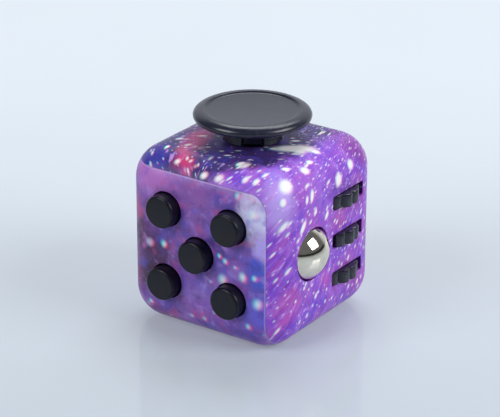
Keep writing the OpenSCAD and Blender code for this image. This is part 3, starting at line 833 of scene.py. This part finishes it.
def gear(name, level):
    lobe = GEAR_R * math.sin(math.pi / LOBES) * 0.93
    centre = GEAR_R - lobe

    def lobed(r, z, a):
        if r < 3:
            return r
        turned = a + math.radians(GEAR_TURNS[name])
        off = (turned + math.pi / LOBES) % (2 * math.pi / LOBES) - math.pi / LOBES
        edge = centre * math.cos(off) + math.sqrt(lobe ** 2 - (centre * math.sin(off)) ** 2)
        return edge - (GEAR_R - r)

    w = GEAR_W / 2
    face = [(1.05, w + 0.12), (1.1, w + 0.15), (1.65, w + 0.15), (1.7, w + 0.1), (1.75, w),
            (GEAR_R - 0.3, w), (GEAR_R - 0.16, w - 0.04), (GEAR_R - 0.05, w - 0.13), (GEAR_R, w - 0.28)]
    outline = [(r, z) for r, z in face] + [(r, -z) for r, z in reversed(face)]
    shape = lathe(outline, LOBES * 18, lobed)
    flat = Matrix(((1, 0, 0), (0, 0, -1), (0, 1, 0)))
    shape = shape.turned(flat).moved((GEAR_SIDE, level * GEAR_PITCH, GEAR_DEPTH)).turned(FACE["roll"])
    return make("gear_" + name + "_moulded", shape, 30)


def steel_ball():
    shape = rounded_cube(BALL_R, BALL_R - 1e-6, 20)
    return make("roll_ball_polished", shape.moved((0, 0, BALL_DEPTH)).on("roll", BALL_SIDE, BALL_UP))


def rocker():
    pad, tilt, pivot = 6.3, math.radians(10), HALF - 3.3
    top = [(pad - 0.5 - (2 * pad - 1) * i / 12, 3.6 + 0.8 * abs(1 - i / 6) ** 1.6) for i in range(1, 12)]
    outline = ([(-pad - 0.6, -0.7), (-1.9, -1.3), (-1, -3), (1, -3), (1.9, -1.3), (pad + 0.6, -0.7)]
               + arc((pad - 0.5, 3.9), 0.5, 10, 80, 4) + top + arc((-pad + 0.5, 3.9), 0.5, 100, 170, 4))
    rings = []
    for w, inset in ((-4.0, 0.28), (-3.93, 0.1), (-3.72, 0.0), (3.72, 0.0), (3.93, 0.1), (4.0, 0.28)):
        ring = []
        for i, (a, b) in enumerate(outline):
            before, after = Vector(outline[i - 1]), Vector(outline[(i + 1) % len(outline)])
            along = (after - before).normalized()
            ring.append((w, a + along[1] * -inset, b + along[0] * inset))
        rings.append(ring)
    shape = loft(rings)
    lean = Matrix.Rotation(tilt, 3, "X")
    shape = shape.turned(lean).moved((0, 0, pivot)).turned(FACE["flip"])
    obj = make("flip_rocker_moulded", shape, 30)
    bore = lathe([(0, -9), (0.85, -9), (0.85, 9), (0, 9)], 48)
    bore = bore.turned(Matrix.Rotation(math.pi / 2, 3, "Y"))
    cut(obj, bore.moved((0, 0, pivot)).turned(FACE["flip"]))
    shade(obj, 30)
    return obj


def dial():
    top, edge, r = HALF + 2.2, 0.7, 9.2
    outline = ([(0, 16.8), (0.7, 16.8), (0.7, 13.25), (2.45, 13.25), (2.45, 14.95), (r, 14.95)]
               + arc((r - edge, top - edge), edge, 0, 86, 7) + [(r - 1.1, top), (0, top)])
    obj = make("spin_dial_moulded", lathe(outline, 128).on("spin"))
    lip, bowl, rise = 0.3, 3.4, 2.2
    reach = math.sqrt(bowl ** 2 - rise ** 2)
    scoop = ([(0, top + rise - bowl)] + arc((0, top + rise), bowl, -80, -46, 7)
             + [(reach - 0.05, top - 0.16), (reach + 0.12, top - 0.05), (reach + lip, top + 0.002),
                (reach + lip, top + 2), (0, top + 2)])
    cut(obj, lathe(scoop, 96).on("spin", 0, 5.06))
    shade(obj, 30)
    return obj


controls = {name: click_button(name, *at) for name, at in BUTTONS.items()}
stick = glide_cap()
gears = {name: gear(name, level) for name, level in GEARS.items()}
ball_piece = steel_ball()
rocker_piece = rocker()
dial_piece = dial()


# ---------------------------------------------------------------- springs and domes
def dome(rise, base, bottom):
    """A thin cap of a sphere, standing on a plate."""
    bend = (base * base + rise * rise) / (2 * rise)
    spread = math.degrees(math.asin(base / bend))
    centre = (0, bottom + rise - bend)
    outline = (arc(centre, bend, 90, 90 - spread, 10)
               + arc(centre, bend - SHEET_T, 90 - spread * 0.97, 90, 10))
    outline[0], outline[-1] = (0, outline[0][1]), (0, outline[-1][1])
    return lathe(outline, 48)


domes = {}
for name, (side, up) in BUTTONS.items():
    if name in ("center", "upper_left", "lower_right"):
        shape, kind = dome(1.05, 2.2, BOARD_TOP + SHEET_T + 0.05), "snap_dome_"
    else:
        shape = lathe([(0, BOARD_TOP + 0.85), (1, BOARD_TOP + 0.85), (1.9, BOARD_TOP), (2.6, BOARD_TOP),
                       (2.6, BOARD_TOP + 0.3), (2.25, BOARD_TOP + 0.3), (1.4, 12.95), (0, 12.95)], 48)
        kind = "silicone_dome_"
    domes[name] = make(kind + name, shape.on("click", side * PITCH, up * PITCH))
ball_spring = dome(0.7, 3.6, PLATE_TOP + SHEET_T + 0.05).on("roll", BALL_SIDE, BALL_UP)
ball_spring = make("ball_spring_dome", ball_spring)


bow = TRAY_INNER - FOOT_HALF - 0.3


def leaf_spring(turn):
    """A bowed strip between the tray's wall and the stick's foot."""
    bend = (LEAF_REACH ** 2 + bow ** 2) / (2 * bow)
    spread = math.degrees(math.asin(LEAF_REACH / bend))
    centre = (FOOT_HALF + 0.1 + bend, 0)
    outline = (arc(centre, bend, 180 - spread, 180 + spread, 24)
               + arc(centre, bend - SHEET_T, 180 + spread * 0.99, 180 - spread * 0.99, 24))
    low, high = FOOT_BOTTOM + 0.15, FOOT_TOP - 0.15
    rings = [[(x, y, z) for x, y in outline] for z in (low, high)]
    return loft(rings).turned(Matrix.Rotation(math.radians(turn), 3, "Z"))


leaves = {turn: make("glide_spring_leaf_" + str(turn), leaf_spring(turn)) for turn in (0, 90, 180, 270)}


# ---------------------------------------------------------------- materials on pieces
BLACK = plastic("button_black", srgb(9, 10, 22), srgb(13, 15, 29), 0.30, 0.28, dust=0.06)
GREY = plastic("stick_grey", srgb(30, 33, 49), srgb(35, 39, 55), 0.20, 0.50, depth=0.003, dust=0.06)
GEAR = plastic("gear_black", srgb(24, 25, 40), srgb(36, 37, 56), 0.20, 0.6, dust=0.15)
CONTROL = plastic("control_black", srgb(26, 27, 33), srgb(36, 37, 46), 0.40, dust=0.2)
INSIDE = plastic("inner_plastic", srgb(48, 62, 66), srgb(66, 82, 88), 0.5)
WASHER = plastic("washer_white", srgb(225, 225, 222), srgb(240, 240, 238), 0.45)
CHROME = metal("chrome_ball", srgb(238, 232, 216), 0.03)
STEEL = metal("steel", srgb(180, 180, 184), 0.25, 0.004)
SPRING = metal("spring_steel", srgb(196, 192, 182), 0.2, 0.002)
SILICONE = soft("silicone", srgb(206, 208, 210), srgb(226, 228, 230))
BOARD = board("board_green")
REAR = rear_print()
FRONT = front_print()


# The inner pieces that keep their CAD mesh take their material from here by slot.
LOOKS = {
    "print_front": FRONT, "print_rear": REAR, "button_black": BLACK, "stick_grey": GREY,
    "gear_black": GEAR, "control_black": CONTROL, "chrome_ball": CHROME, "steel": STEEL,
    "spring_steel": SPRING, "silicone": SILICONE, "board_green": BOARD, "washer_white": WASHER,
    "inner_plastic": INSIDE,
}
for part in frame["record"]["subparts"]:
    obj = frame["nodes"][part["node"]]
    obj.data.materials.clear()
    obj.data.materials.append(LOOKS[part["material_slot"]])


def dress(obj, material):
    obj.data.materials.clear()
    obj.data.materials.append(material)


def stands_for(obj, material, slot, body, *nodes):
    dress(obj, material)
    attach(obj, body)
    if nodes:
        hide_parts(*nodes)


stands_for(front_shell, FRONT, "print_front", "casing", "front_shell")
stands_for(rear_shell, REAR, "print_rear", "casing", "rear_shell")
for name, obj in controls.items():
    stands_for(obj, BLACK, "button_black", "click_button_" + name, "click_button_" + name)
stands_for(stick, GREY, "stick_grey", "glide_stick", "glide_cap")
for name, obj in gears.items():
    stands_for(obj, GEAR, "gear_black", "gear_" + name, "gear_" + name)
stands_for(ball_piece, CHROME, "chrome_ball", "ball", "roll_ball")
stands_for(rocker_piece, CONTROL, "control_black", "rocker", "flip_rocker")
stands_for(dial_piece, CONTROL, "control_black", "dial", "spin_dial")
for name, obj in domes.items():
    if obj.name.startswith("snap"):
        stands_for(obj, SPRING, "spring_steel", "casing", "snap_domes")
    else:
        stands_for(obj, SILICONE, "silicone", "casing", "silicone_domes")
    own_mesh(obj)
for turn, obj in leaves.items():
    stands_for(obj, SPRING, "spring_steel", "casing", "glide_springs")
    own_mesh(obj)
stands_for(ball_spring, SPRING, "spring_steel", "casing", "ball_spring")
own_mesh(ball_spring)


# ---------------------------------------------------------------- stage, light and camera
def plane(name, corners):
    mesh = bpy.data.meshes.new(name)
    mesh.from_pydata(corners, [], [[0, 1, 2, 3]])
    obj = bpy.data.objects.new(name, mesh)
    bpy.context.scene.collection.objects.link(obj)
    return obj


floor = plane("floor", [(-3, -3, 0), (3, -3, 0), (3, 3, 0), (-3, 3, 0)])
# The floor glows, more towards the back: painted light that washes out the shadows on it.
k = Look("floor_glowing_acrylic")
grain = k.noise(k.place(), 0.02, 2.0, 0.5)
x, y, _ = k.split(k.place())
distance = k.sub(k.mul(y, 0.82), k.mul(x, 0.57))
k.set(Base_Color=k.mix(grain, srgb(168, 178, 186), srgb(172, 182, 190)), Roughness=0.08,
      Specular_IOR_Level=0.22, Emission_Color=srgb(210, 215, 218),
      Emission_Strength=k.ramp(distance, -70.0, 140.0, 0.22, 0.50))
floor.data.materials.append(k.material)


def softbox(name, where, size, power, colour=(1, 1, 1)):
    data = bpy.data.lights.new(name, "AREA")
    data.shape, data.size, data.size_y = "RECTANGLE", size[0], size[1]
    data.energy, data.color = power, colour
    obj = bpy.data.objects.new(name, data)
    bpy.context.scene.collection.objects.link(obj)
    obj.location = where
    obj.rotation_mode = "QUATERNION"
    obj.rotation_quaternion = (Vector((0, 0, 0.016)) - Vector(where)).to_track_quat("-Z", "Y")


softbox("right", (0.74, 0.13, 0.52), (0.5, 0.5), 5.2, (0.99, 0.97, 1.0))
softbox("front_left", (-0.45, -1.0, 0.75), (0.7, 0.7), 8.6, (0.94, 0.95, 1.0))
softbox("behind", (-0.4, 0.9, 1.6), (1.4, 0.8), 16.0, (0.96, 0.97, 1.0))

world = bpy.data.worlds.new("studio")
bpy.context.scene.world = world
world.use_nodes = True


def studio(tree):
    """A dim room with a dark line low down and a bright backdrop behind the object."""
    def add(kind, *values):
        n = tree.nodes.new(kind)
        for socket, value in zip(n.inputs, values):
            if isinstance(value, bpy.types.NodeSocket):
                tree.links.new(value, socket)
            elif value is not None:
                socket.default_value = value
        return n

    def ramp(value, low, high, to_low, to_high):
        n = add("ShaderNodeMapRange", value, low, high, to_low, to_high)
        n.interpolation_type = "SMOOTHSTEP"
        return n.outputs[0]

    def math_node(how, a, b):
        n = add("ShaderNodeMath", a, b)
        n.operation = how
        return n.outputs[0]

    way = tree.nodes.new("ShaderNodeTexCoord").outputs["Generated"]
    up = add("ShaderNodeSeparateXYZ", way).outputs[2]
    facing = add("ShaderNodeVectorMath", way, (-0.5, 0.86, 0.0))
    facing.operation = "DOT_PRODUCT"
    behind = ramp(facing.outputs["Value"], 0.35, 0.75, 0.0, 1.0)
    backdrop = math_node("MULTIPLY", behind, ramp(up, 0.85, 0.6, 0.0, 1.0))
    room = ramp(up, 0.06, 0.20, 0.02, 0.16)
    light = math_node("ADD", room, math_node("MULTIPLY", backdrop, 0.75))
    ground = tree.nodes["Background"]
    ground.inputs["Color"].default_value = srgb(236, 240, 248)
    tree.links.new(light, ground.inputs["Strength"])


studio(world.node_tree)

azimuth, elevation, roll = math.radians(34.6), math.radians(23.9), math.radians(0.2)
back = Vector((math.sin(azimuth) * math.cos(elevation), -math.cos(azimuth) * math.cos(elevation),
               math.sin(elevation)))
camera_data = bpy.data.cameras.new("camera")
camera = bpy.data.objects.new("camera", camera_data)
bpy.context.scene.collection.objects.link(camera)
bpy.context.scene.camera = camera
camera_data.sensor_width, camera_data.lens = 36, 166
camera_data.shift_x, camera_data.shift_y = -0.0044, 0.029
camera_data.clip_start, camera_data.clip_end = 0.01, 20
camera_distance = 0.4125
camera.location = Vector((0, 0, HALF * MM)) + back * camera_distance
camera.rotation_mode = "QUATERNION"
camera.rotation_quaternion = (-back).to_track_quat("-Z", "Y") @ Matrix.Rotation(roll, 3, "Z").to_quaternion()

bpy.context.scene.view_settings.view_transform = "Standard"
